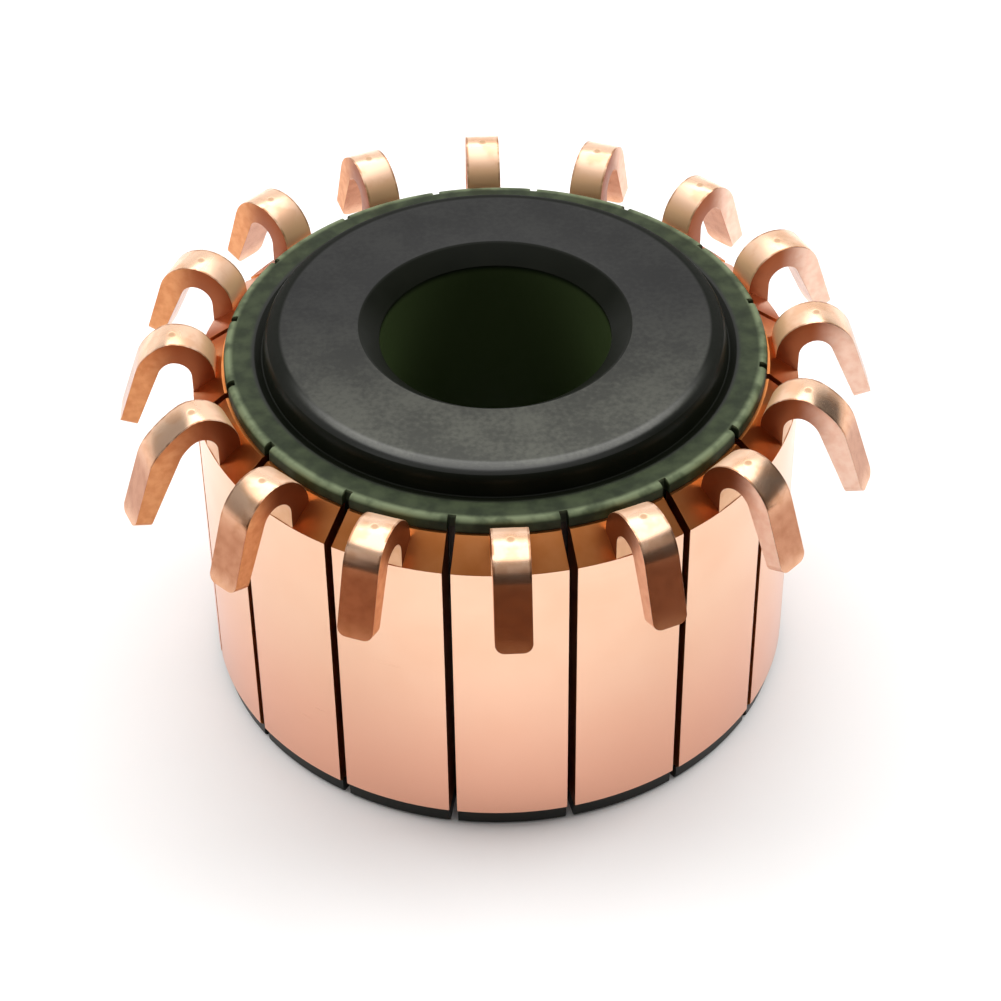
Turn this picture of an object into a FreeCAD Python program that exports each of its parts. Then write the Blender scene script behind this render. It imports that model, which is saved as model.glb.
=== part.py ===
import FreeCAD, Part
import math
import os

# Moulded commutator of the hook type, standing on its plain end with the hooks up.
# Millimetres. The shaft axis is +Z, the origin is the middle of the bottom face and
# copper_bar_01 faces -Y. Sixteen copper bars are held by one resin moulding, the hub.

# Bars: the turned brush face, and the copper behind it
bar_count = 16
brush_radius = 10.5
brush_length = 11.3
copper_wall = 1.3
lower_edge_chamfer = 0.12

# Saw cut between neighbouring bars, how far it runs on into the resin, and how far the
# blade passes beyond both ends
slot_width = 0.28
slot_into_resin = 0.1
saw_overrun = 0.5

# Sloped band on both sides of a hook, from the brush face up to the flange
band_rise = 0.8

# Hook: a flat strap that rises from the bar just behind its turned brush face, arches
# outwards and comes down as a leg. The leg's inner face leans more than its outer face,
# and the tip's corners are rounded by a share of the strap's width.
hook_width = 1.22
hook_thickness = 0.8
hook_setback = 0.03
hook_bend_radius = 1.4
hook_rise = 0.7
leg_length = 2.35
leg_flare_degrees = 18.7
leg_taper_degrees = 5.5
tip_corner_share = 0.26

# Anchor: a dovetail on the bar's back. Its foot is wider than its neck, and longer too,
# so that a claw at each end reaches under the resin.
anchor_neck_width = 0.9
anchor_foot_width = 1.7
anchor_reach = 1.4
anchor_foot_thickness = 0.45
anchor_shoulder = 0.4
anchor_end_margin = 1.2
anchor_claw = 0.8

# Hub: base ring under the bars
base_height = 0.62
base_step = 0.15
base_edge_chamfer = 0.1

# Hub: flange that laps over the bars' upper ends
flange_lap = 0.17
flange_thickness = 0.5
flange_edge_chamfer = 0.22

# Hub: boss with a rounded edge, and the groove round its foot
boss_height = 0.85
boss_face_radius = 7.6
boss_edge_radius = 0.3
boss_draft = 0.12
groove_width = 0.3
groove_depth = 0.15

# Hub: bore, with a long lead-in at the hook end and a short one below
bore_radius = 4.0
lead_in_run = 0.67
lead_in_depth = 0.57
lower_lead_in = 0.3

# Levels and radii that follow from the sizes above
copper_radius = brush_radius - copper_wall
brush_top = base_height + brush_length
band_top = brush_top + band_rise
rim_radius = copper_radius + flange_lap
flange_top = band_top + flange_thickness
boss_top = flange_top + boss_height
anchor_bottom = base_height + anchor_end_margin
anchor_top = band_top - anchor_end_margin
anchor_radius = copper_radius - anchor_reach
pitch_degrees = 360.0 / bar_count
saw_reach = brush_radius + hook_bend_radius

# Points closer together than this are one point
same_place = 0.001

axis_point = FreeCAD.Vector(0, 0, 0)
axis_direction = FreeCAD.Vector(0, 0, 1)


def at(radius, height):
    """A point of a section, in the half plane on the -Y side."""
    return FreeCAD.Vector(0, -radius, height)


def section(edges):
    return Part.Face(Part.Wire(edges))


def polygon(points):
    return section(Part.makePolygon(points + points[:1]).Edges)


def turned(face, degrees=360.0):
    """The face turned about the shaft axis, spread evenly on both sides of -Y."""
    start = face.copy()
    start.rotate(axis_point, axis_direction, -degrees / 2)
    return start.revolve(axis_point, axis_direction, degrees)


def saw_cuts():
    """One blade of each slot, from the slot's floor outwards, over the full height."""
    floor_radius = copper_radius - slot_into_resin
    corner = FreeCAD.Vector(-slot_width / 2, -saw_reach, -saw_overrun)
    blade_height = boss_top + 2 * saw_overrun
    blade = Part.makeBox(slot_width, saw_reach - floor_radius, blade_height, corner)
    cuts = []
    for index in range(bar_count):
        cut = blade.copy()
        cut.rotate(axis_point, axis_direction, (index + 0.5) * pitch_degrees)
        cuts.append(cut)
    return cuts


def bar_body():
    """Segment with the brush face, the sloped band and the lip under the flange."""
    outline = polygon([
        at(copper_radius, base_height),
        at(brush_radius - lower_edge_chamfer, base_height),
        at(brush_radius, base_height + lower_edge_chamfer),
        at(brush_radius, brush_top),
        at(rim_radius, band_top),
        at(copper_radius, band_top),
    ])
    return turned(outline, pitch_degrees)


def hook():
    """Strap bent over into a hook, with its tip corners rounded off."""
    inner_radius = hook_bend_radius - hook_thickness
    riser_outer = brush_radius - hook_setback
    riser_inner = riser_outer - hook_thickness
    centre_radius = riser_inner + hook_bend_radius
    centre_height = brush_top + hook_rise
    outer_flare = math.radians(leg_flare_degrees)
    inner_flare = math.radians(leg_flare_degrees + leg_taper_degrees)

    def on_bend(radius, angle):
        return at(centre_radius + radius * math.cos(angle), centre_height + radius * math.sin(angle))

    def down_leg(angle):
        return at(math.sin(angle), -math.cos(angle))

    outer_end = on_bend(hook_bend_radius, outer_flare)
    inner_end = on_bend(inner_radius, inner_flare)
    outer_tip = outer_end + down_leg(outer_flare) * leg_length
    # The tip is cut square to the outer face, so the inner face stops level with it.
    to_cut = (outer_tip - inner_end).dot(down_leg(outer_flare))
    inner_tip = inner_end + down_leg(inner_flare) * (to_cut / math.cos(inner_flare - outer_flare))

    root_inner = at(riser_inner, brush_top)
    root_outer = at(riser_outer, brush_top)
    outer_start = on_bend(hook_bend_radius, math.pi)
    inner_start = on_bend(inner_radius, math.pi)
    outer_middle = on_bend(hook_bend_radius, (math.pi + outer_flare) / 2)
    inner_middle = on_bend(inner_radius, (math.pi + inner_flare) / 2)
    outline = section([
        Part.LineSegment(root_inner, outer_start).toShape(),
        Part.Arc(outer_start, outer_middle, outer_end).toShape(),
        Part.LineSegment(outer_end, outer_tip).toShape(),
        Part.LineSegment(outer_tip, inner_tip).toShape(),
        Part.LineSegment(inner_tip, inner_end).toShape(),
        Part.Arc(inner_end, inner_middle, inner_start).toShape(),
        Part.LineSegment(inner_start, root_outer).toShape(),
        Part.LineSegment(root_outer, root_inner).toShape(),
    ])
    outline.translate(FreeCAD.Vector(-hook_width / 2, 0, 0))
    strap = outline.extrude(FreeCAD.Vector(hook_width, 0, 0))

    # The two short edges at the tip that run through the strap's thickness
    tip_middle = (outer_tip + inner_tip) / 2
    to_side = FreeCAD.Vector(hook_width / 2, 0, 0)
    tip_edges = []
    for edge in strap.Edges:
        for corner in (tip_middle - to_side, tip_middle + to_side):
            if edge.CenterOfMass.distanceToPoint(corner) < same_place:
                tip_edges.append(edge)
    return strap.makeFillet(tip_corner_share * hook_width, tip_edges)


def anchor():
    """Dovetail both ways: its plan and its side view are cut from one block."""
    root = copper_radius + copper_wall / 2
    foot_top = anchor_radius + anchor_foot_thickness
    neck_end = foot_top + anchor_shoulder
    plan = polygon([
        FreeCAD.Vector(-anchor_neck_width / 2, -root, anchor_bottom),
        FreeCAD.Vector(-anchor_neck_width / 2, -neck_end, anchor_bottom),
        FreeCAD.Vector(-anchor_foot_width / 2, -foot_top, anchor_bottom),
        FreeCAD.Vector(-anchor_foot_width / 2, -anchor_radius, anchor_bottom),
        FreeCAD.Vector(anchor_foot_width / 2, -anchor_radius, anchor_bottom),
        FreeCAD.Vector(anchor_foot_width / 2, -foot_top, anchor_bottom),
        FreeCAD.Vector(anchor_neck_width / 2, -neck_end, anchor_bottom),
        FreeCAD.Vector(anchor_neck_width / 2, -root, anchor_bottom),
    ])
    side = polygon([
        at(root, anchor_bottom + anchor_claw),
        at(neck_end, anchor_bottom + anchor_claw),
        at(foot_top, anchor_bottom),
        at(anchor_radius, anchor_bottom),
        at(anchor_radius, anchor_top),
        at(foot_top, anchor_top),
        at(neck_end, anchor_top - anchor_claw),
        at(root, anchor_top - anchor_claw),
    ])
    side.translate(FreeCAD.Vector(-anchor_foot_width, 0, 0))
    upright = plan.extrude(FreeCAD.Vector(0, 0, anchor_top - anchor_bottom))
    crosswise = side.extrude(FreeCAD.Vector(2 * anchor_foot_width, 0, 0))
    return upright.common(crosswise)


def hub_blank():
    """The moulding as turned, before the pockets of the bars and the saw cuts."""
    base_radius = brush_radius - base_step
    wall_top_radius = boss_face_radius + boss_edge_radius
    wall_foot_radius = wall_top_radius + boss_draft
    edge_centre_height = boss_top - boss_edge_radius
    half = math.sqrt(0.5) * boss_edge_radius
    wall_top = at(wall_top_radius, edge_centre_height)
    edge_middle = at(boss_face_radius + half, edge_centre_height + half)
    face_edge = at(boss_face_radius, boss_top)

    corners = [
        wall_top,
        at(wall_foot_radius, flange_top - groove_depth),
        at(wall_foot_radius + groove_width, flange_top),
        at(rim_radius - flange_edge_chamfer, flange_top),
        at(rim_radius, flange_top - flange_edge_chamfer),
        at(rim_radius, band_top),
        at(copper_radius, band_top),
        at(copper_radius, base_height),
        at(base_radius, base_height),
        at(base_radius, base_edge_chamfer),
        at(base_radius - base_edge_chamfer, 0),
        at(bore_radius + lower_lead_in, 0),
        at(bore_radius, lower_lead_in),
        at(bore_radius, boss_top - lead_in_depth),
        at(bore_radius + lead_in_run, boss_top),
        face_edge,
    ]
    edges = [Part.Arc(face_edge, edge_middle, wall_top).toShape()]
    for start, end in zip(corners, corners[1:]):
        edges.append(Part.LineSegment(start, end).toShape())
    return turned(section(edges))


def write(shape, name):
    solid = shape.removeSplitter()
    if len(solid.Solids) != 1 or not solid.isValid():
        raise ValueError(name + " is not one valid solid")
    solid.Solids[0].exportStep("parts/" + name + ".step")
    print(name, round(solid.Volume, 3), "mm3")


cuts = saw_cuts()
first_bar = bar_body().cut(cuts).fuse([hook(), anchor()]).removeSplitter()

bars = []
for index in range(bar_count):
    bar = first_bar.copy()
    bar.rotate(axis_point, axis_direction, index * pitch_degrees)
    bars.append(bar)

hub = hub_blank().cut(bars).cut(cuts)

os.makedirs("parts", exist_ok=True)
write(hub, "moulded_hub")
for index, bar in enumerate(bars):
    write(bar, "copper_bar_%02d" % (index + 1))
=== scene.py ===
# %% [markdown]
# A moulded hook commutator. Sixteen copper bars stand in a ring round a hub of dark
# moulding resin, and each bar ends at the top in a hook that takes a winding wire.
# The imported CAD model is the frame. It has every piece at its real size, but its faces are
# flat facets, which a mirror-like metal would show. So each piece is modelled again here
# with smooth turned surfaces and broken edges, in the place that the frame gives.

# %% Load the frame and measure it
import bpy
import bmesh
import math
from mathutils import Matrix, Vector


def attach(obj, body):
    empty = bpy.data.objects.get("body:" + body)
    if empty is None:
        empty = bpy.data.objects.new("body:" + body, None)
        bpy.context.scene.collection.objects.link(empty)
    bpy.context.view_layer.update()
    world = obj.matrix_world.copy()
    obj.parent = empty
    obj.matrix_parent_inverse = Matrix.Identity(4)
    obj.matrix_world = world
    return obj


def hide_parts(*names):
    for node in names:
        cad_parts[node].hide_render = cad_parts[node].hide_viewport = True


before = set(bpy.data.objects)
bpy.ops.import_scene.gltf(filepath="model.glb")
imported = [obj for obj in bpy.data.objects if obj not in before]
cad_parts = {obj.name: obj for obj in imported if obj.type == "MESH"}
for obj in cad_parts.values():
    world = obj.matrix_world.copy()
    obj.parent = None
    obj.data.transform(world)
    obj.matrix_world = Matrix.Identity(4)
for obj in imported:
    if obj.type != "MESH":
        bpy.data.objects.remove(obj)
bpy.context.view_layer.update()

# %% [markdown]
# Sizes. A commutator is drawn in millimetres and Blender works in metres, so each size is
# written once in millimetres and multiplied. The sizes are those of the CAD model, because
# a smooth piece has to lie in the same place as the facetted one. First come the radii and
# heights of what is turned.

# %% Sizes of the turned bars and the hub
mm = 0.001

bar_count = 16
pitch = math.tau / bar_count
brush_radius = 10.5 * mm
copper_radius = 9.2 * mm
lower_edge_chamfer = 0.12 * mm
slot_width = 0.28 * mm
slot_floor_radius = 9.1 * mm

rim_radius = 9.37 * mm
base_radius = brush_radius - 0.15 * mm
base_chamfer = 0.1 * mm
boss_wall_radius = 7.9 * mm
boss_draft = 0.12 * mm
groove_outer = boss_wall_radius + 0.42 * mm
groove_depth = 0.15 * mm
bore_radius = 4.0 * mm
lead_in_run = 0.67 * mm
lead_in_depth = 0.57 * mm
lower_lead_in = 0.3 * mm

base_top = 0.62 * mm
brush_top = 11.92 * mm
band_top = 12.72 * mm
flange_top = 13.22 * mm
boss_top = 14.07 * mm
lead_in_foot = boss_top - lead_in_depth

print("brush face", round((brush_top - base_top) / mm, 2), "mm tall,", bar_count, "bars")

# %% [markdown]
# Sizes of the hook. The strap rises behind the brush face, goes over a bending pin and comes
# down as a leg. The middle of its crown follows from the pin's place and the bend's radius.

# %% Sizes of the bent strap
hook_width = 1.22 * mm
hook_thickness = 0.8 * mm
bend_radius = 1.4 * mm
riser_outer = brush_radius - 0.03 * mm
riser_inner = riser_outer - hook_thickness
pin_radius = riser_inner + bend_radius
pin_height = brush_top + 0.7 * mm
leg_length = 2.35 * mm
leg_flare = math.radians(18.7)
tip_thickness = 0.59 * mm
crown = Vector((0, -pin_radius, pin_height + bend_radius))
print("crown at, mm:", [round(v / mm, 2) for v in crown])

# %% [markdown]
# Helpers for the meshes. Parts made by turning and bending come out as patches that have
# to be welded where they meet, and their faces have to look outwards.
# A finished mesh is shaded smooth, apart from edges that a real part has sharp, and the
# weighted normals keep the broad faces flat while the small edge roundings take the turn.

# %% Weld, turn outwards, and hand over as an object
weld_distance = 0.0005 * mm
sharp_angle = math.radians(35)


def weld(bm):
    bmesh.ops.remove_doubles(bm, verts=bm.verts, dist=weld_distance)
    bmesh.ops.recalc_face_normals(bm, faces=bm.faces)


def as_object(bm, name, materials=()):
    mesh = bpy.data.meshes.new(name)
    bm.to_mesh(mesh)
    bm.free()
    made = bpy.data.objects.new(name, mesh)
    bpy.context.scene.collection.objects.link(made)
    for material in materials:
        mesh.materials.append(material)
    return made


def apply_modifiers(source, name):
    """The object's mesh with its modifiers worked in, as a mesh of its own."""
    bpy.context.view_layer.update()
    graph = bpy.context.evaluated_depsgraph_get()
    mesh = bpy.data.meshes.new_from_object(source.evaluated_get(graph), depsgraph=graph)
    mesh.name = name
    return mesh


def smooth_with_sharp_edges(made):
    made.data.shade_smooth()
    made.data.set_sharp_from_angle(angle=sharp_angle)
    weighted = made.modifiers.new("broad faces stay flat", "WEIGHTED_NORMAL")
    weighted.keep_sharp = True


def describe(bm):
    """Faces, open edges and volume, to print while a piece is made."""
    open_edges = [e for e in bm.edges if len(e.link_faces) != 2]
    volume = round(bm.calc_volume() / mm**3, 2)
    return "%d faces, %d open edges, %s mm3" % (len(bm.faces), len(open_edges), volume)


# %% [markdown]
# Shader maths. A finish is worked out from where a point lies on the piece, in a chain of
# nodes. Written out node by node such a chain is hard to read, so this small class wraps a
# socket and lets sums be written as sums. Every other node comes from its one method.

# %% A socket that can be used in sums
class Flow:
    """A shader socket. Without a socket it is the start of a material's chain."""

    def __init__(self, tree, socket=None):
        self.tree = tree
        self.socket = socket

    def node(self, kind, settings=None, sockets=None, out=0):
        """Adds a node: its settings first, then the values or links of its sockets."""
        made = self.tree.nodes.new(kind)
        for name, value in (settings or {}).items():
            setattr(made, name, value)
        for name, value in (sockets or {}).items():
            if isinstance(value, Flow):
                self.tree.links.new(value.socket, made.inputs[name])
            else:
                made.inputs[name].default_value = value
        return Flow(self.tree, made.outputs[out] if made.outputs else None)

    def maths(self, operation, *values):
        return self.node("ShaderNodeMath", {"operation": operation}, dict(enumerate(values)))

    def __add__(self, other):
        return self.maths("ADD", self, other)

    __radd__ = __add__

    def __mul__(self, other):
        return self.maths("MULTIPLY", self, other)

    __rmul__ = __mul__

    def __sub__(self, other):
        return self.maths("SUBTRACT", self, other)

    def __rsub__(self, other):
        return self.maths("SUBTRACT", other, self)

    def ramp(self, low, high):
        """0 below low, 1 above high, and smooth between."""
        sockets = {"Value": self, "From Min": low, "From Max": high}
        return self.node("ShaderNodeMapRange", {"interpolation_type": "SMOOTHSTEP"}, sockets)

    def blend(self, colour_a, colour_b):
        """Mixes two colours, with this value as the share of the second."""
        sockets = {0: self, 6: colour_a, 7: colour_b}
        return self.node("ShaderNodeMix", {"data_type": "RGBA"}, sockets, out=2)

    def along(self, axis):
        """One coordinate of a place: axis is X, Y or Z."""
        return self.node("ShaderNodeSeparateXYZ", None, {"Vector": self}, out=axis)


# %% [markdown]
# Parts of a finish. A material is a chain from a place to one surface node. The place is
# read in the piece's own coordinates, so that a pattern stays on the piece when it moves.
# Grain is noise at that place, and a relief tilts the surface without moving it.

# %% Start a material, read a place, add grain and relief
def new_material(name):
    made = bpy.data.materials.new(name)
    made.use_nodes = True
    made.node_tree.nodes.clear()
    return made, Flow(made.node_tree)


def put_on_surface(start, sockets):
    surface = start.node("ShaderNodeBsdfPrincipled", None, sockets)
    start.node("ShaderNodeOutputMaterial", None, {"Surface": surface})


def on_piece(start):
    return start.node("ShaderNodeTexCoord", out="Object")


def grain(start, scale, detail=2.0, stretch=(1, 1, 1)):
    """Noise in the piece's own coordinates, stretched by a factor along each axis."""
    drawn = start.node("ShaderNodeVectorMath", {"operation": "MULTIPLY"}, {0: on_piece(start), 1: stretch})
    return start.node("ShaderNodeTexNoise", None, {"Vector": drawn, "Scale": scale, "Detail": detail})


def relief(start, height, depth):
    """Normals of a relief that is depth metres deep where height runs from 0 to 1."""
    return start.node("ShaderNodeBump", None, {"Strength": 1.0, "Distance": depth, "Height": height})


# %% [markdown]
# Brush face. The bars are turned together on a lathe after the slots are sawn, so the tool
# leaves fine rings that run on from bar to bar. A texture along the height alone gives
# perfect rings; drawing a noise out along the circumference gives rings that come and go
# as cut ones do. They tilt the surface by about a degree, which softens a reflection
# upwards and downwards and leaves it clear sideways. Wide faint patches vary the colour.
# Towards the lower end the face is painted darker and more pink: painted shade of the
# shadowed table that the lower face mirrors.

# %% Turned copper
clean_copper = (0.885, 0.568, 0.4, 1)
warm_copper = (0.865, 0.534, 0.367, 1)
shaded_pink_copper = (0.87, 0.463, 0.327, 1)
ring_depth = 0.0016 * mm

turned_copper, start = new_material("turned copper")
rings = grain(start, 9000, stretch=(0.03, 0.03, 1))
fine_rings = grain(start, 30000, stretch=(0.02, 0.02, 1))
patches = grain(start, 420)
# Painted shade: the face is made darker and more pink towards its lower end.
painted_low_shade = 1 - on_piece(start).along("Z").ramp(1 * mm, 9.5 * mm)
put_on_surface(start, {
    "Base Color": painted_low_shade.blend(patches.ramp(0.35, 0.75).blend(clean_copper, warm_copper), shaded_pink_copper),
    "Metallic": 1.0,
    "Roughness": 0.16 + 0.1 * rings + 0.06 * patches,
    "Normal": relief(start, rings + 0.4 * fine_rings, ring_depth),
})
print("turned copper:", len(turned_copper.node_tree.nodes), "nodes")

# %% [markdown]
# Place on a bar. The hooks point sixteen ways, but each has the same marks in the same
# places. So a finish that belongs to the hook asks where a point lay on the first bar, before
# that bar was turned into its place. The bar's mesh stores this place as an attribute, which
# is written further down, and these two functions read it.

# %% Read the place on a bar
def on_first_bar(start):
    return start.node("ShaderNodeAttribute", {"attribute_name": "on_bar"}, out="Vector")


def out_on_bar(start):
    """How far out from the shaft axis a point lies on its bar."""
    return 0 - on_first_bar(start).along("Y")


# %% [markdown]
# Band. The sloped band under the flange isn't turned with the brush face. Its duller, redder
# colour is partly the tarnished skin of the rolled strip and partly painted shade of the
# recess under the hooks, with cloudy stains.

# %% Band, tarnish and painted shade
# Partly painted shade: the band's dull red stands partly for the shade of the recess, partly for tarnish.
red_copper_and_shade = (0.68, 0.25, 0.08, 1)
dull_red_copper_and_shade = (0.58, 0.19, 0.05, 1)

band_copper, start = new_material("band copper")
stains = grain(start, 900, 3.0)
put_on_surface(start, {
    "Base Color": stains.ramp(0.3, 0.7).blend(red_copper_and_shade, dull_red_copper_and_shade),
    "Metallic": 1.0,
    "Roughness": 0.26 + 0.14 * stains,
    "Normal": relief(start, stains, 0.002 * mm),
})
print("band copper:", len(band_copper.node_tree.nodes), "nodes")

# %% [markdown]
# Strap. The crown is the brightest part: a painted highlight, lighter on top of the bend
# where the light falls. The leg below is browner, partly brown tarnish and partly painted
# shade of the dark surroundings that it mirrors, and the riser is rougher and yellower. Each
# crown has a small dark pip, and its two edges are darker, as a burr from shearing would be.
# The photograph shows these marks but not what made them. Each is a mask: a height, a
# distance outwards, a distance from the crown's middle or a distance from the strap's centre line.
# The colours are laid over each other through the masks, one after the other.

# %% Bent strap
strap_copper, start = new_material("strap copper")
outwards = out_on_bar(start)
height = on_first_bar(start).along("Z")
skin = grain(start, 2600, 3.0)
patchy = skin.ramp(0.35, 0.75)

riser = 1 - outwards.ramp(10.2 * mm, 11.0 * mm)
leg = (1 - riser) * (height.ramp(10.2 * mm, 11.6 * mm) - height.ramp(12.7 * mm, 13.9 * mm))
# Painted highlight: the crown is made brighter on top of the bend.
painted_crown_highlight = height.ramp(13.35 * mm, 13.8 * mm)
stained = 0.5 * grain(start, 1300, 3.0).ramp(0.46, 0.64)
from_crown = start.node("ShaderNodeVectorMath", {"operation": "DISTANCE"},
                        {0: on_first_bar(start), 1: crown}, out="Value")
pip = 1 - from_crown.ramp(0.07 * mm, 0.17 * mm)
across = on_first_bar(start).along("X") * (2 / hook_width)
burr = (across * across).ramp(0.7, 0.88) * height.ramp(12.9 * mm, 13.3 * mm) * skin.ramp(0.3, 0.6)

copper = patchy.blend((0.96, 0.6, 0.4, 1), (0.93, 0.53, 0.33, 1))
bright = stained.blend(painted_crown_highlight.blend(copper, (0.98, 0.65, 0.45, 1)), (0.8, 0.42, 0.22, 1))
# Partly painted shade: the leg's brown is partly tarnish and partly stands for the dark surroundings that
# the leg mirrors.
brown = patchy.blend((0.48, 0.22, 0.125, 1), (0.4, 0.17, 0.09, 1))
with_riser = (riser * (1 - painted_crown_highlight)).blend(bright, (0.94, 0.57, 0.31, 1))
with_leg = leg.blend(with_riser, brown)
with_burr = (0.8 * burr).blend(with_leg, (0.36, 0.14, 0.055, 1))
with_pip = (0.7 * pip).blend(with_burr, (0.42, 0.26, 0.14, 1))
put_on_surface(start, {
    "Base Color": with_pip,
    "Metallic": 0.94 - 0.4 * riser,
    "Roughness": 0.17 + 0.12 * skin + 0.2 * riser + 0.2 * pip,
    "Normal": relief(start, skin - 4 * pip, 0.0015 * mm),
})
print("strap copper:", len(strap_copper.node_tree.nodes), "nodes")

# %% [markdown]
# Sheared sides. The strap's sides are sheared, which tears the metal and leaves it rough.
# They are orange on one side of the commutator and more pink on the other, as painted light
# and shade: the more pink sides, on the right, stand for light falling from the left. At the
# root, where the hook comes out of the bar, they are red-brown, a painted shade.

# %% Sheared copper
shaded_red_brown = (0.3, 0.08, 0.025, 1)

sheared_copper, start = new_material("sheared copper")
tears = grain(start, 3600, 3.0)
patchy = tears.ramp(0.3, 0.75)
# Painted shade: the sides are made red-brown at the root, where the hook meets the bar.
painted_root_shade = 1 - out_on_bar(start).ramp(10.8 * mm, 12.2 * mm)
# Painted light and shade: sides on the right are made more pink, as if lit from the left; those on the left
# stay orange.
lit_side = on_piece(start).along("X").ramp(-3 * mm, 10 * mm)
orange = patchy.blend((0.76, 0.34, 0.145, 1), (0.66, 0.26, 0.1, 1))
pink = patchy.blend((0.98, 0.69, 0.55, 1), (0.92, 0.58, 0.44, 1))
put_on_surface(start, {
    "Base Color": painted_root_shade.blend(lit_side.blend(orange, pink), shaded_red_brown),
    "Metallic": 0.8,
    "Roughness": 0.32 + 0.16 * tears,
    "Normal": relief(start, tears, 0.003 * mm),
})
copper_finishes = [turned_copper, band_copper, strap_copper, sheared_copper]
turned, banded, strapped, sheared = range(len(copper_finishes))
print("finishes of a bar:", [finish.name for finish in copper_finishes])

# %% [markdown]
# Resin. The hub is one moulding, but its skin differs from place to place. The boss is
# dull grey, painted lighter towards the front, which is painted light. Its rounded edge is
# polished in front, and further round it is painted black, a painted shade. The bore is
# olive, and the flange under the hooks is greenish, as resin rich in filler can be; its rim
# is painted palest, a painted highlight. The distance from the shaft axis and the height say
# where a point is, so the zones are masks of those.

# %% Zones of the resin
moulded_resin, start = new_material("moulded resin")
place = on_piece(start)
height = place.along("Z")
backwards = place.along("Y")
level = start.node("ShaderNodeVectorMath", {"operation": "MULTIPLY"}, {0: place, 1: (1, 1, 0)})
radius = start.node("ShaderNodeVectorMath", {"operation": "LENGTH"}, {0: level}, out="Value")

above_bars = height.ramp(band_top, band_top + 0.05 * mm)
on_flange = radius.ramp(groove_outer, groove_outer + 0.18 * mm) * above_bars
near_rim = radius.ramp(copper_radius - 0.2 * mm, copper_radius)
# Painted highlight: the flange's rim is made paler.
painted_rim_highlight = near_rim * height.ramp(flange_top - 0.16 * mm, flange_top - 0.04 * mm)
on_face = height.ramp(boss_top - 0.1 * mm, boss_top - 0.02 * mm)
below_lead_in = 1 - height.ramp(lead_in_foot - 0.3 * mm, lead_in_foot)
in_bore = (1 - radius.ramp(bore_radius + 0.02 * mm, bore_radius + 0.1 * mm)) * below_lead_in

edge_start = boss_wall_radius - 0.6 * mm
forwards = 1 - backwards.ramp(-6.5 * mm, -2 * mm)
outer_limit = radius.ramp(boss_wall_radius - 0.1 * mm, boss_wall_radius)
polished_edge = (radius.ramp(edge_start, edge_start + 0.2 * mm) - outer_limit) * above_bars * forwards
past_wall = radius.ramp(boss_wall_radius, boss_wall_radius + 0.1 * mm)
# Painted shade: away from the front the boss's rounded edge is made black.
painted_shade_edge = radius.ramp(edge_start, edge_start + 0.16 * mm) * (1 - past_wall) * above_bars * (1 - forwards)
print("zones:", len(moulded_resin.node_tree.nodes), "nodes")

# %% [markdown]
# Colours of the resin. Three grains are laid over the zones: a wide mottling, fine specks
# like those of filler, and patches on the flange. On the boss the first two are mixed, and
# the result is painted lighter towards the front, a painted light.

# %% Moulded resin
black = (0.004, 0.005, 0.003, 1)
olive = (0.042, 0.062, 0.022, 1)

mottle = grain(start, 520, 5.0)
filler = grain(start, 5200, 3.0)
wear = grain(start, 1500, 3.0)
dust = 0.6 * mottle + 0.4 * filler
# Painted light: the boss's grey is made lighter towards the front.
painted_front_light = 1 - backwards.ramp(-7.5 * mm, 2 * mm)
dark_grey = painted_front_light.blend((0.0015, 0.0016, 0.0015, 1), (0.033, 0.034, 0.027, 1))
light_grey = painted_front_light.blend((0.01, 0.0103, 0.0092, 1), (0.07, 0.0715, 0.057, 1))
grey = dust.ramp(0.38, 0.64).blend(dark_grey, light_grey)
green = wear.ramp(0.3, 0.75).blend((0.012, 0.019, 0.0065, 1), (0.036, 0.049, 0.021, 1))
highlight_pale_green = wear.ramp(0.3, 0.6).blend((0.055, 0.072, 0.036, 1), (0.145, 0.178, 0.098, 1))
faced = (on_face * (1 - painted_shade_edge)).blend(black, grey)
with_flange = on_flange.blend(in_bore.blend(faced, olive), green)
put_on_surface(start, {
    "Base Color": painted_rim_highlight.blend(with_flange, highlight_pale_green),
    "Roughness": 0.22 + 0.24 * on_flange + 0.1 * filler + 0.1 * mottle + 0.5 * painted_shade_edge,
    "Specular IOR Level": 0.23,
    "Coat Weight": polished_edge,
    "Coat Roughness": 0.2,
    "Normal": relief(start, filler + 2 * mottle, 0.003 * mm),
})
print("moulded resin:", len(moulded_resin.node_tree.nodes), "nodes")

# %% [markdown]
# Black wall. The boss's wall, the groove round its foot, the lead-in of the bore and the
# wall behind the bars are almost black and reflect little. The black is the mould's smooth
# skin, and the dull reflection is painted shade of the groove and walls.

# %% Black wall, mould skin and painted shade
# Partly painted shade: black resin whose dull reflection darkens the groove and the walls.
black_wall_with_painted_shade, start = new_material("black wall with painted shade")
gloss = grain(start, 900)
put_on_surface(start, {
    "Base Color": gloss.blend((0.003, 0.004, 0.002, 1), (0.006, 0.007, 0.004, 1)),
    "Roughness": 0.3 + 0.2 * gloss,
    "Specular IOR Level": 0.1,
})
resin_finishes = [moulded_resin, black_wall_with_painted_shade]
print("finishes of the hub:", [finish.name for finish in resin_finishes])

# %% [markdown]
# Segment. A bar is a slice of a turned ring. Its section is drawn once, as a face in the
# plane through the shaft axis, and spun over one pitch.

# %% Spin the segment's section
steps_per_pitch = 24
lip_width = 0.1 * mm


def face_of(bm, corners):
    return bm.faces.new([bm.verts.new(c) for c in corners])


def section_point(radius, height):
    """A point of a section, in the half plane on the -Y side."""
    return Vector((0, -radius, height))


def turn_mesh(bm, angle):
    bmesh.ops.rotate(bm, verts=bm.verts, cent=(0, 0, 0), matrix=Matrix.Rotation(angle, 3, "Z"))


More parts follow.
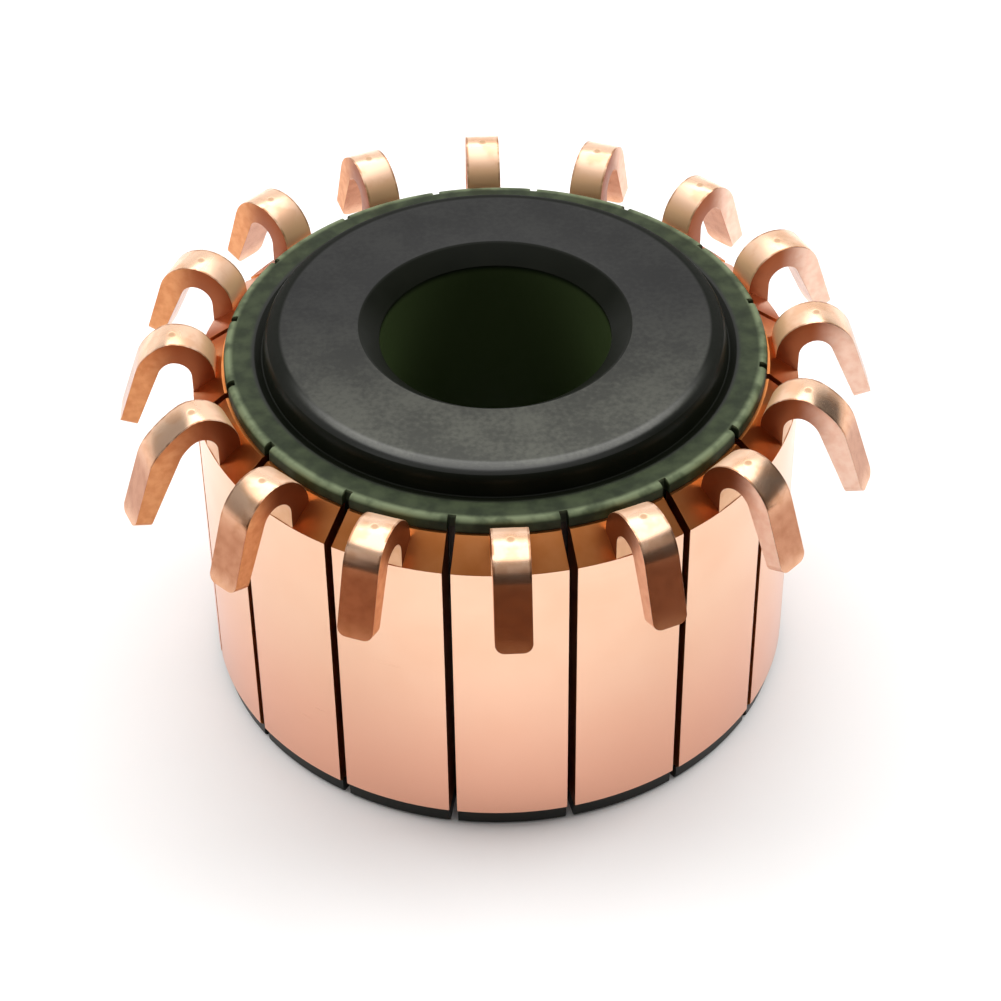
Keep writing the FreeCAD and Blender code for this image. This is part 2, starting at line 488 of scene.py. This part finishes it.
segment = bmesh.new()
section = face_of(segment, [
    section_point(copper_radius, base_top),
    section_point(brush_radius - lower_edge_chamfer, base_top),
    section_point(brush_radius, base_top + lower_edge_chamfer),
    section_point(brush_radius, brush_top),
    section_point(rim_radius + lip_width, band_top),
    section_point(copper_radius, band_top),
])
turn_mesh(segment, -pitch / 2)
bmesh.ops.spin(
    segment, geom=[section], cent=(0, 0, 0), axis=(0, 0, 1), angle=pitch, steps=steps_per_pitch,
    use_merge=False,
)
weld(segment)
print("uncut segment:", describe(segment))

# %% [markdown]
# Slots. The saw leaves a slot of even width with parallel walls, so the two sides of the
# segment are cut by planes that lie half a slot away from the middle of the slot, and not
# along a radius.

# %% Cut both sides of the segment
for side in (-1, 1):
    across = Matrix.Rotation(side * pitch / 2, 3, "Z") @ Vector((side, 0, 0))
    cut = bmesh.ops.bisect_plane(
        segment,
        geom=segment.verts[:] + segment.edges[:] + segment.faces[:],
        plane_co=-across * slot_width / 2,
        plane_no=across,
        clear_outer=True,
    )
    rim = [e for e in cut["geom_cut"] if isinstance(e, bmesh.types.BMEdge)]
    bmesh.ops.edgeloop_fill(segment, edges=rim)
weld(segment)
print("segment:", describe(segment))

# %% [markdown]
# Broken edges. Every sawn or turned edge is broken a little when the commutator is brushed
# off, and that hairline rounding is what catches the light beside each slot. The edges that
# lie at the front are found by how sharply their two faces meet; those hidden against the
# hub stay sharp, because nobody reaches them.

# %% Round the front edges of the segment
corner_angle = math.radians(50)
broken_edge = 0.04 * mm


def middle_of(edge):
    return (edge.verts[0].co + edge.verts[1].co) / 2


def sharp_edges(bm, wanted):
    """Edges whose faces meet sharply, where wanted(middle) is true."""
    found = []
    for edge in bm.edges:
        if len(edge.link_faces) == 2 and edge.calc_face_angle() > corner_angle:
            if wanted(middle_of(edge)):
                found.append(edge)
    return found


def round_edges(bm, edges, width, segments):
    bmesh.ops.bevel(
        bm, geom=edges, offset=width, offset_type="OFFSET", segments=segments, profile=0.5,
        affect="EDGES", material=-1, clamp_overlap=True,
    )


front = sharp_edges(segment, lambda p: p.xy.length > rim_radius + 0.02 * mm)
round_edges(segment, front, broken_edge, 2)
for face in segment.faces:
    middle = face.calc_center_median()
    upright = abs(face.normal.z) < 0.3
    outward = face.normal.dot(Vector((middle.x, middle.y, 0)).normalized()) > 0.8
    face.material_index = turned if upright and outward else banded
print("segment with broken edges:", describe(segment))
body = as_object(segment, "segment", copper_finishes)

# %% [markdown]
# Hook. The strap is sheared from the same strip as the bar and bent over a pin. So it is
# modelled in the order in which it is bent: a flat end is drawn up as the riser, turned over
# the pin as a spin about an axis across the strap, and drawn on as the leg. The leg's inner
# face leans out a little more than the outer one, so the tip is thinner.

# %% Bend the strap
root_depth = 0.3 * mm
bend_steps = 18


def draw_on(bm, end, step):
    """Draws the end face on by a step and returns the new end face."""
    made = bmesh.ops.extrude_face_region(bm, geom=[end])["geom"]
    bmesh.ops.translate(bm, verts=[v for v in made if isinstance(v, bmesh.types.BMVert)], vec=step)
    bmesh.ops.delete(bm, geom=[end], context="FACES_KEEP_BOUNDARY")
    return [f for f in made if isinstance(f, bmesh.types.BMFace)][0]


strap = bmesh.new()
root = face_of(strap, [
    Vector((x, -radius, brush_top - root_depth))
    for x, radius in (
        (-hook_width / 2, riser_inner), (hook_width / 2, riser_inner),
        (hook_width / 2, riser_outer), (-hook_width / 2, riser_outer),
    )
])
top = draw_on(strap, root, Vector((0, 0, pin_height - brush_top + root_depth)))
turned_over = bmesh.ops.spin(
    strap, geom=[top], cent=section_point(pin_radius, pin_height), axis=(1, 0, 0),
    angle=math.pi - leg_flare, steps=bend_steps, use_merge=False,
)["geom_last"]
bmesh.ops.delete(strap, geom=[top], context="FACES_KEEP_BOUNDARY")
end = [f for f in turned_over if isinstance(f, bmesh.types.BMFace)][0]
down = Vector((0, -math.sin(leg_flare), -math.cos(leg_flare)))
tip = draw_on(strap, end, down * leg_length)
outwards = Vector((0, -math.cos(leg_flare), math.sin(leg_flare)))
inner = [v for v in tip.verts if (v.co - tip.calc_center_median()).dot(outwards) < 0]
bmesh.ops.translate(strap, verts=inner, vec=outwards * (hook_thickness - tip_thickness))
tip_middle = tip.calc_center_median()
bmesh.ops.holes_fill(strap, edges=strap.edges)
weld(strap)
print("strap:", describe(strap))

# %% [markdown]
# Strap edges. The tip is nibbled round at its two corners, and tumbling takes the sharpness
# off all the long edges. The corners at the tip are rounded first and widely, then every
# remaining sharp edge narrowly, so that the small rounding runs on round the tip.

# %% Round the tip and the long edges
tip_rounding = 0.32 * mm
strap_rounding = 0.06 * mm
nearly = 0.01 * mm

corners = []
for edge in strap.edges:
    middle = middle_of(edge)
    at_tip = (middle - tip_middle).dot(down) > -nearly
    if at_tip and abs(abs(middle.x) - hook_width / 2) < nearly:
        corners.append(edge)
round_edges(strap, corners, tip_rounding, 6)
round_edges(strap, sharp_edges(strap, lambda p: p.z > brush_top - 0.2 * mm), strap_rounding, 3)
for face in strap.faces:
    face.material_index = sheared if abs(face.normal.x) > 0.8 else strapped
print("strap with", len(corners), "round corners:", describe(strap))
hook = as_object(strap, "strap", copper_finishes)

# %% [markdown]
# Anchor. On its hidden side the bar has a dovetail that the resin flows round, or the bars
# would fly off at speed. Nobody sees it, so it stays a plain shape: a block drawn inwards and
# widened at the foot. Its root reaches a little way into the copper, to be united with it.

# %% Dovetail at the back of the bar
claw = 0.8 * mm
anchor_low = base_top + 1.2 * mm
anchor_high = band_top - 1.2 * mm
anchor_radius = 7.8 * mm
anchor_foot_top = anchor_radius + 0.45 * mm
anchor_neck_end = anchor_foot_top + 0.4 * mm
neck_half_width = 0.45 * mm
foot_half_width = 0.85 * mm
anchor_overlap = 0.5 * mm


def dovetail(root_radius):
    """The anchor as a closed mesh, from a root radius inwards to its foot."""
    low, high = anchor_low + claw, anchor_high - claw
    bm = bmesh.new()
    end = face_of(bm, [
        Vector((side * neck_half_width, -root_radius, z))
        for side, z in ((-1, low), (1, low), (1, high), (-1, high))
    ])
    end = draw_on(bm, end, Vector((0, root_radius - anchor_neck_end, 0)))
    end = draw_on(bm, end, Vector((0, anchor_neck_end - anchor_foot_top, 0)))
    for vert in end.verts:
        vert.co.x *= foot_half_width / neck_half_width
        vert.co.z += claw if vert.co.z > (low + high) / 2 else -claw
    end = draw_on(bm, end, Vector((0, anchor_foot_top - anchor_radius, 0)))
    bmesh.ops.holes_fill(bm, edges=bm.edges)
    weld(bm)
    return bm


anchor = dovetail(copper_radius + anchor_overlap)
print("anchor:", describe(anchor))
for face in anchor.faces:
    face.material_index = banded
anchor = as_object(anchor, "anchor", copper_finishes)

# %% [markdown]
# One bar out of three shapes. Segment, strap and anchor are one piece of copper, so they
# are united and not left standing inside each other. The exact solver keeps each face's
# finish. The cut hub further down needs the same operation, so it is a function.

# %% Unite the bar
def combine(target, tools, operation, name):
    """Works the tools into the target and returns the mesh; all the objects go."""
    for tool in tools:
        modifier = target.modifiers.new("with " + tool.name, "BOOLEAN")
        modifier.operation = operation
        modifier.solver = "EXACT"
        modifier.object = tool
    mesh = apply_modifiers(target, name)
    for used in (target, *tools):
        bpy.data.objects.remove(used)
    return mesh


bar_mesh = combine(body, (hook, anchor), "UNION", "bar")
welded = bmesh.new()
welded.from_mesh(bar_mesh)
weld(welded)
print("bar:", describe(welded))
welded.to_mesh(bar_mesh)
welded.free()

# %% [markdown]
# Remember the first bar. Each point stores where it lies now, because the other bars will
# be turned copies, and the strap's and the sides' finishes look up this place on each.

# %% Store the place on the bar
on_bar = bar_mesh.attributes.new("on_bar", "FLOAT_VECTOR", "POINT")
for point, vertex in zip(on_bar.data, bar_mesh.vertices):
    point.vector = vertex.co
print("places stored:", len(on_bar.data))

# %% [markdown]
# The ring of bars. Each bar is a copy of the same mesh, turned in its mesh and not by its
# object, so that a pattern in object coordinates runs on round the whole ring. No two
# hooks spring back quite alike after bending, so each leg is carried out and down by a
# few hundredths to tenths of a millimetre, growing smoothly from nothing at the crown. The
# two lists give these amounts for bar 1 to bar 16. Only those of bars 4 and 14 were refined
# against the photograph, where these hooks stand out. The others are first estimates, and
# for the bars at the back, whose legs are hidden, no more than guesses.

# %% Sixteen bars, each with its own spring-back
reach_mm = [-0.05, 0.0, 0.04, 0.22, 0.0, 0.05, -0.04, 0.06, -0.06, 0.03, -0.04, 0.06, 0.0, 0.5, 0.04, 0.0]
drop_mm = [-0.14, -0.12, 0.1, 0.28, 0.1, -0.05, 0.06, -0.04, 0.0, 0.05, -0.06, 0.04, 0.2, 0.55, 0.06, -0.14]
spring_run = 1.3 * mm


def spring_back(mesh, reach, drop):
    """Carries the hook's outer half out and down; the crown and the bar stay."""
    for vertex in mesh.vertices:
        beyond = crown.y - vertex.co.y
        share = min(1, max(0, beyond / spring_run))
        share = share * share * (3 - 2 * share)
        vertex.co.y -= reach * share
        vertex.co.z -= drop * share


for index in range(bar_count):
    mesh = bar_mesh.copy()
    spring_back(mesh, reach_mm[index] * mm, drop_mm[index] * mm)
    mesh.transform(Matrix.Rotation(index * pitch, 4, "Z"))
    bar = bpy.data.objects.new("bar_%02d" % (index + 1), mesh)
    bpy.context.scene.collection.objects.link(bar)
    smooth_with_sharp_edges(bar)
    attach(bar, "root")
    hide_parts("copper_bar_%02d" % (index + 1))
print("bars:", bar_count, "of", len(bar_mesh.polygons), "faces")

# %% [markdown]
# Hub. The moulding is turned too, in one setting with the brush face, so it is a spun
# section. The section is drawn with sharp corners first. Then the corners that the mould
# or the tool rounds are rounded in the section, where it takes one vertex each, and only
# then is it spun, which is simpler than rounding long rings of edges afterwards.

# %% Draw the hub's section
groove_floor = (boss_wall_radius + boss_draft, flange_top - groove_depth)
lead_in_top = (bore_radius + lead_in_run, boss_top)
boss_rounding = 0.5 * mm
rim_rounding = 0.2 * mm
slight_rounding = 0.08 * mm
groove_lip_rounding = 0.05 * mm

hub = bmesh.new()
face_of(hub, [
    section_point(bore_radius + lower_lead_in, 0),
    section_point(base_radius - base_chamfer, 0),
    section_point(base_radius, base_chamfer),
    section_point(base_radius, base_top),
    section_point(copper_radius, base_top),
    section_point(copper_radius, band_top),
    section_point(rim_radius, band_top),
    section_point(rim_radius, flange_top),
    section_point(groove_outer, flange_top),
    section_point(*groove_floor),
    section_point(boss_wall_radius, boss_top),
    section_point(*lead_in_top),
    section_point(bore_radius, lead_in_foot),
    section_point(bore_radius, lower_lead_in),
])


def round_corner(bm, radius, height, size, segments):
    """Rounds the section's corner at that radius and height."""
    place = section_point(radius, height)
    corner = min(bm.verts, key=lambda v: (v.co - place).length)
    bmesh.ops.bevel(
        bm, geom=[corner], offset=size, offset_type="OFFSET", segments=segments, profile=0.5,
        affect="VERTICES", material=-1,
    )


round_corner(hub, boss_wall_radius, boss_top, boss_rounding, 10)
round_corner(hub, *groove_floor, slight_rounding, 4)
round_corner(hub, groove_outer, flange_top, groove_lip_rounding, 3)
round_corner(hub, rim_radius, flange_top, rim_rounding, 7)
round_corner(hub, *lead_in_top, slight_rounding, 3)
print("hub section:", len(hub.verts), "corners")

# %% [markdown]
# Spin. The section's edges, without its face, are spun through the full turn and welded to
# themselves, with the same number of steps to a pitch as the bars have. Then each face is
# told by its place and slope whether it gets the black wall, mould skin with painted shade.

# %% Spin the hub and find its black faces
bmesh.ops.delete(hub, geom=hub.faces[:], context="FACES_ONLY")
bmesh.ops.spin(
    hub, geom=hub.edges[:] + hub.verts[:], cent=(0, 0, 0), axis=(0, 0, 1), angle=math.tau,
    steps=steps_per_pitch * bar_count, use_merge=True,
)
weld(hub)
if hub.calc_volume(signed=True) < 0:
    bmesh.ops.reverse_faces(hub, faces=hub.faces)
print("hub:", describe(hub))


# Faces of the black wall: mould skin whose dull reflection is painted shade.
def gets_black_wall_shade(face):
    middle = face.calc_center_median()
    out = middle.xy.length
    near_wall = boss_wall_radius - 0.3 * mm < out < boss_wall_radius + 0.05 * mm
    boss_wall = near_wall and middle.z > flange_top and face.normal.z < 0.65
    groove = boss_wall_radius < out < groove_outer and middle.z > flange_top - 0.2 * mm
    lead_in = out < bore_radius + lead_in_run + 0.03 * mm and face.normal.z > 0.3
    behind_bars = out > copper_radius - 0.2 * mm and base_top < middle.z < band_top - 0.1 * mm
    return boss_wall or groove or lead_in or behind_bars


black_faces = [face for face in hub.faces if gets_black_wall_shade(face)]
for face in black_faces:
    face.material_index = resin_finishes.index(black_wall_with_painted_shade)
print("faces with the mould's black skin:", len(black_faces))
hub_blank = as_object(hub, "hub blank", resin_finishes)

# %% [markdown]
# Saw nicks and pockets. The saw that parts the bars runs on a little into the resin, so
# sixteen blades nick the base, the wall behind the bars and the flange's rim. The anchors
# sit in pockets of their own shape. Blades and pockets are made as two meshes of sixteen
# bodies each, and both are cut from the hub in one go.

# %% Cut the nicks and the pockets
blade_reach = brush_radius - slot_floor_radius + 1 * mm
blade_height = 1.2 * boss_top
pocket_overrun = 0.3 * mm

blades = bmesh.new()
for index in range(bar_count):
    turn = Matrix.Rotation((index + 0.5) * pitch, 4, "Z")
    middle = Matrix.Translation((0, -slot_floor_radius - blade_reach / 2, boss_top / 2))
    size = Matrix.Diagonal((slot_width, blade_reach, blade_height, 1))
    bmesh.ops.create_cube(blades, size=1, matrix=turn @ middle @ size)
blades = as_object(blades, "saw blades")

pockets = bmesh.new()
for index in range(bar_count):
    pocket = dovetail(copper_radius + pocket_overrun)
    turn_mesh(pocket, index * pitch)
    loose = bpy.data.meshes.new("pocket")
    pocket.to_mesh(loose)
    pocket.free()
    pockets.from_mesh(loose)
    bpy.data.meshes.remove(loose)
pockets = as_object(pockets, "pockets")

hub_mesh = combine(hub_blank, (blades, pockets), "DIFFERENCE", "hub")
hub = bpy.data.objects.new("hub", hub_mesh)
bpy.context.scene.collection.objects.link(hub)
smooth_with_sharp_edges(hub)
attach(hub, "root")
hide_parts("moulded_hub")
print("hub with nicks and pockets:", len(hub_mesh.polygons), "faces")

# %% [markdown]
# Table. The part stands on a wide white table. Its colour is just under white and it is
# dull, so it shows the part's soft shadow and no reflection of it.

# %% White table
table_radius = 3
table_corners = 96

floor = bmesh.new()
bmesh.ops.create_circle(floor, cap_ends=True, segments=table_corners, radius=table_radius)
white_table, start = new_material("white table")
put_on_surface(start, {"Base Color": (0.92, 0.92, 0.92, 1), "Roughness": 0.9})
floor = as_object(floor, "table", [white_table])
print("table:", [round(v, 1) for v in floor.dimensions], "m")

# %% [markdown]
# Light. Bare metal shows its surroundings more than its own colour, so the light is planned
# as what the copper mirrors: a broad soft window overhead, a bright wall behind, dimmer
# walls to the left and in front, and at the foot of them a white sweep, where the table
# ends. All of it is worked out from the direction of a ray. The camera sees plain white in
# place of the room, and metal and glass see the same white where the sweep is.

# %% Soft window overhead, walls around
world = bpy.data.worlds.new("studio")
bpy.context.scene.world = world
world.use_nodes = True
world.node_tree.nodes.clear()
start = Flow(world.node_tree)
direction = start.node("ShaderNodeTexCoord", out="Generated")
sideways = direction.along("X")
rearward = direction.along("Y")
upward = direction.along("Z")

window_height = math.radians(75)
window_core = math.cos(math.radians(28))
window_edge = math.cos(math.radians(38))
window_light, sweep_light, dim_room = 1.95, 0.8, 0.05
to_window = (0, math.cos(window_height), math.sin(window_height))
towards = start.node("ShaderNodeVectorMath", {"operation": "DOT_PRODUCT"},
                     {0: direction, 1: to_window}, out="Value")
in_window = towards.ramp(window_edge, window_core)

low_on_wall = 1 - upward.ramp(0.2, 0.4)
high_on_wall = upward.ramp(0.6, 0.72)
back_wall = rearward.ramp(0.5, 0.75) * (0.85 + 0.1 * low_on_wall + 0.2 * high_on_wall)
left_wall = 0.25 * ((1 - sideways.ramp(-0.8, -0.4)) * upward.ramp(0, 0.1))
front_wall = 0.27 * ((1 - rearward.ramp(-0.35, -0.1)) * upward.ramp(0.45, 0.51))
ceiling = 0.1 * upward.ramp(0.5, 0.8)
sweep = 1 - upward.ramp(0.1, 0.18)
walls = left_wall + front_wall + back_wall
room = dim_room + sweep_light * sweep + walls + ceiling + window_light * in_window

at_camera = start.node("ShaderNodeLightPath", out="Is Camera Ray")
mirrored = start.maths(
    "MAXIMUM",
    start.node("ShaderNodeLightPath", out="Is Glossy Ray"),
    start.node("ShaderNodeLightPath", out="Is Transmission Ray"),
)
plain_white = at_camera + mirrored * sweep
sky = start.node("ShaderNodeBackground", None, {
    "Color": (1, 0.99, 0.98, 1),
    "Strength": plain_white + (1 - plain_white) * room,
})
start.node("ShaderNodeOutputWorld", None, {"Surface": sky})
print("world:", len(world.node_tree.nodes), "nodes")

# %% [markdown]
# Fill. Two wide soft lamps, one on each side and a little behind, lift the part's shadow on
# the table. The right one is a little stronger. Like a photographer's fill they aren't meant
# to be seen in the metal, so they are hidden from reflections.

# %% Soft fill from both sides
fill_size = 0.4
fill_out, fill_back, fill_up = 0.42, 0.17, 0.42

for side, energy in ((-1, 1.65), (1, 2.05)):
    fill_light = bpy.data.lights.new("soft fill", "AREA")
    fill_light.shape = "DISK"
    fill_light.size = fill_size
    fill_light.energy = energy
    fill = bpy.data.objects.new("soft fill", fill_light)
    bpy.context.scene.collection.objects.link(fill)
    fill.location = (side * fill_out, fill_back, fill_up)
    fill.rotation_mode = "QUATERNION"
    fill.rotation_quaternion = fill.location.to_track_quat("Z", "Y")
    fill.visible_glossy = False
print("fill lamps:", [light.energy for light in bpy.data.lights])

# %% [markdown]
# Screen. The legs of the front hooks lean back by 19 degrees, so from this camera they
# mirror what stands low in front of the part. A low curved brown screen stands there, close
# in front, in place of the pale table: a sheet of painted shade for the legs to mirror. It is
# painted lighter towards both ends, most of all the left one, which is painted light, and
# almost black along the top, which gives the dark line under each bend. It hides from the
# camera and from the light, so it is seen only in reflections.

# %% Brown screen in front
screen_radius = 32 * mm
screen_height = 17 * mm
half_sweep = math.radians(62)
screen_steps = 32

painted_shade_screen, start = new_material("painted shade screen")
aside = on_piece(start).along("X")
height = on_piece(start).along("Z")
# Painted shade and light: the screen's colours set what the front legs mirror.
cloth = aside.ramp(8 * mm, 24 * mm).blend((0.2, 0.09, 0.03, 1), (0.28, 0.17, 0.11, 1))
cloth = (1 - aside.ramp(-20 * mm, -6 * mm)).blend(cloth, (0.5, 0.31, 0.2, 1))
cloth = height.ramp(11.6 * mm, 12.6 * mm).blend(cloth, (0.02, 0.012, 0.006, 1))
put_on_surface(start, {"Base Color": cloth, "Roughness": 1.0})

screen = bmesh.new()
foot = screen.verts.new((0, -screen_radius, 0))
turn_mesh(screen, -half_sweep)
bmesh.ops.spin(
    screen, geom=[foot], cent=(0, 0, 0), axis=(0, 0, 1), angle=2 * half_sweep, steps=screen_steps,
    use_merge=False,
)
raised = bmesh.ops.extrude_edge_only(screen, edges=screen.edges[:])["geom"]
raised = [v for v in raised if isinstance(v, bmesh.types.BMVert)]
bmesh.ops.translate(screen, verts=raised, vec=(0, 0, screen_height))
print("screen:", len(screen.faces), "faces")
screen = as_object(screen, "screen", [painted_shade_screen])
for ray in ("camera", "diffuse", "shadow", "transmission"):
    setattr(screen, "visible_" + ray, False)

# %% [markdown]
# Camera. A long lens close by, 41 degrees above the table and turned two degrees to the
# side of the first hook. Its place was found by fitting the slots, rims and hooks of the
# model to the photograph. It is given in brush radii along the camera's own three
# directions, from the shaft axis at the height of the brush faces' lower edge.

# %% Camera at the photograph's place
photo_width_px = 1001
focal_length_px = 2736.31
sensor_width = 36
azimuth = math.radians(2.1108)
elevation = math.radians(41.2973)
roll = math.radians(-0.717)
backed, shifted, lifted = 9.7774, 0.0101, 0.3784

right = Vector((math.cos(azimuth), -math.sin(azimuth), 0))
level_part = math.cos(elevation)
back = Vector((-math.sin(azimuth) * level_part, -math.cos(azimuth) * level_part, math.sin(elevation)))
up = back.cross(right)
place = brush_radius * (backed * back + shifted * right + lifted * up) + Vector((0, 0, base_top))

lens = bpy.data.cameras.new("long lens")
lens.sensor_width = sensor_width
lens.lens = focal_length_px / photo_width_px * sensor_width
lens.clip_start = 0.005
lens.clip_end = 20
camera = bpy.data.objects.new("camera", lens)
bpy.context.scene.collection.objects.link(camera)
turn = Matrix((right, up, back)).transposed() @ Matrix.Rotation(roll, 3, "Z")
camera.matrix_world = Matrix.Translation(place) @ turn.to_4x4()
bpy.context.scene.camera = camera
bpy.context.scene.view_settings.view_transform = "Standard"
print("camera at, mm:", [round(v / mm, 1) for v in place])
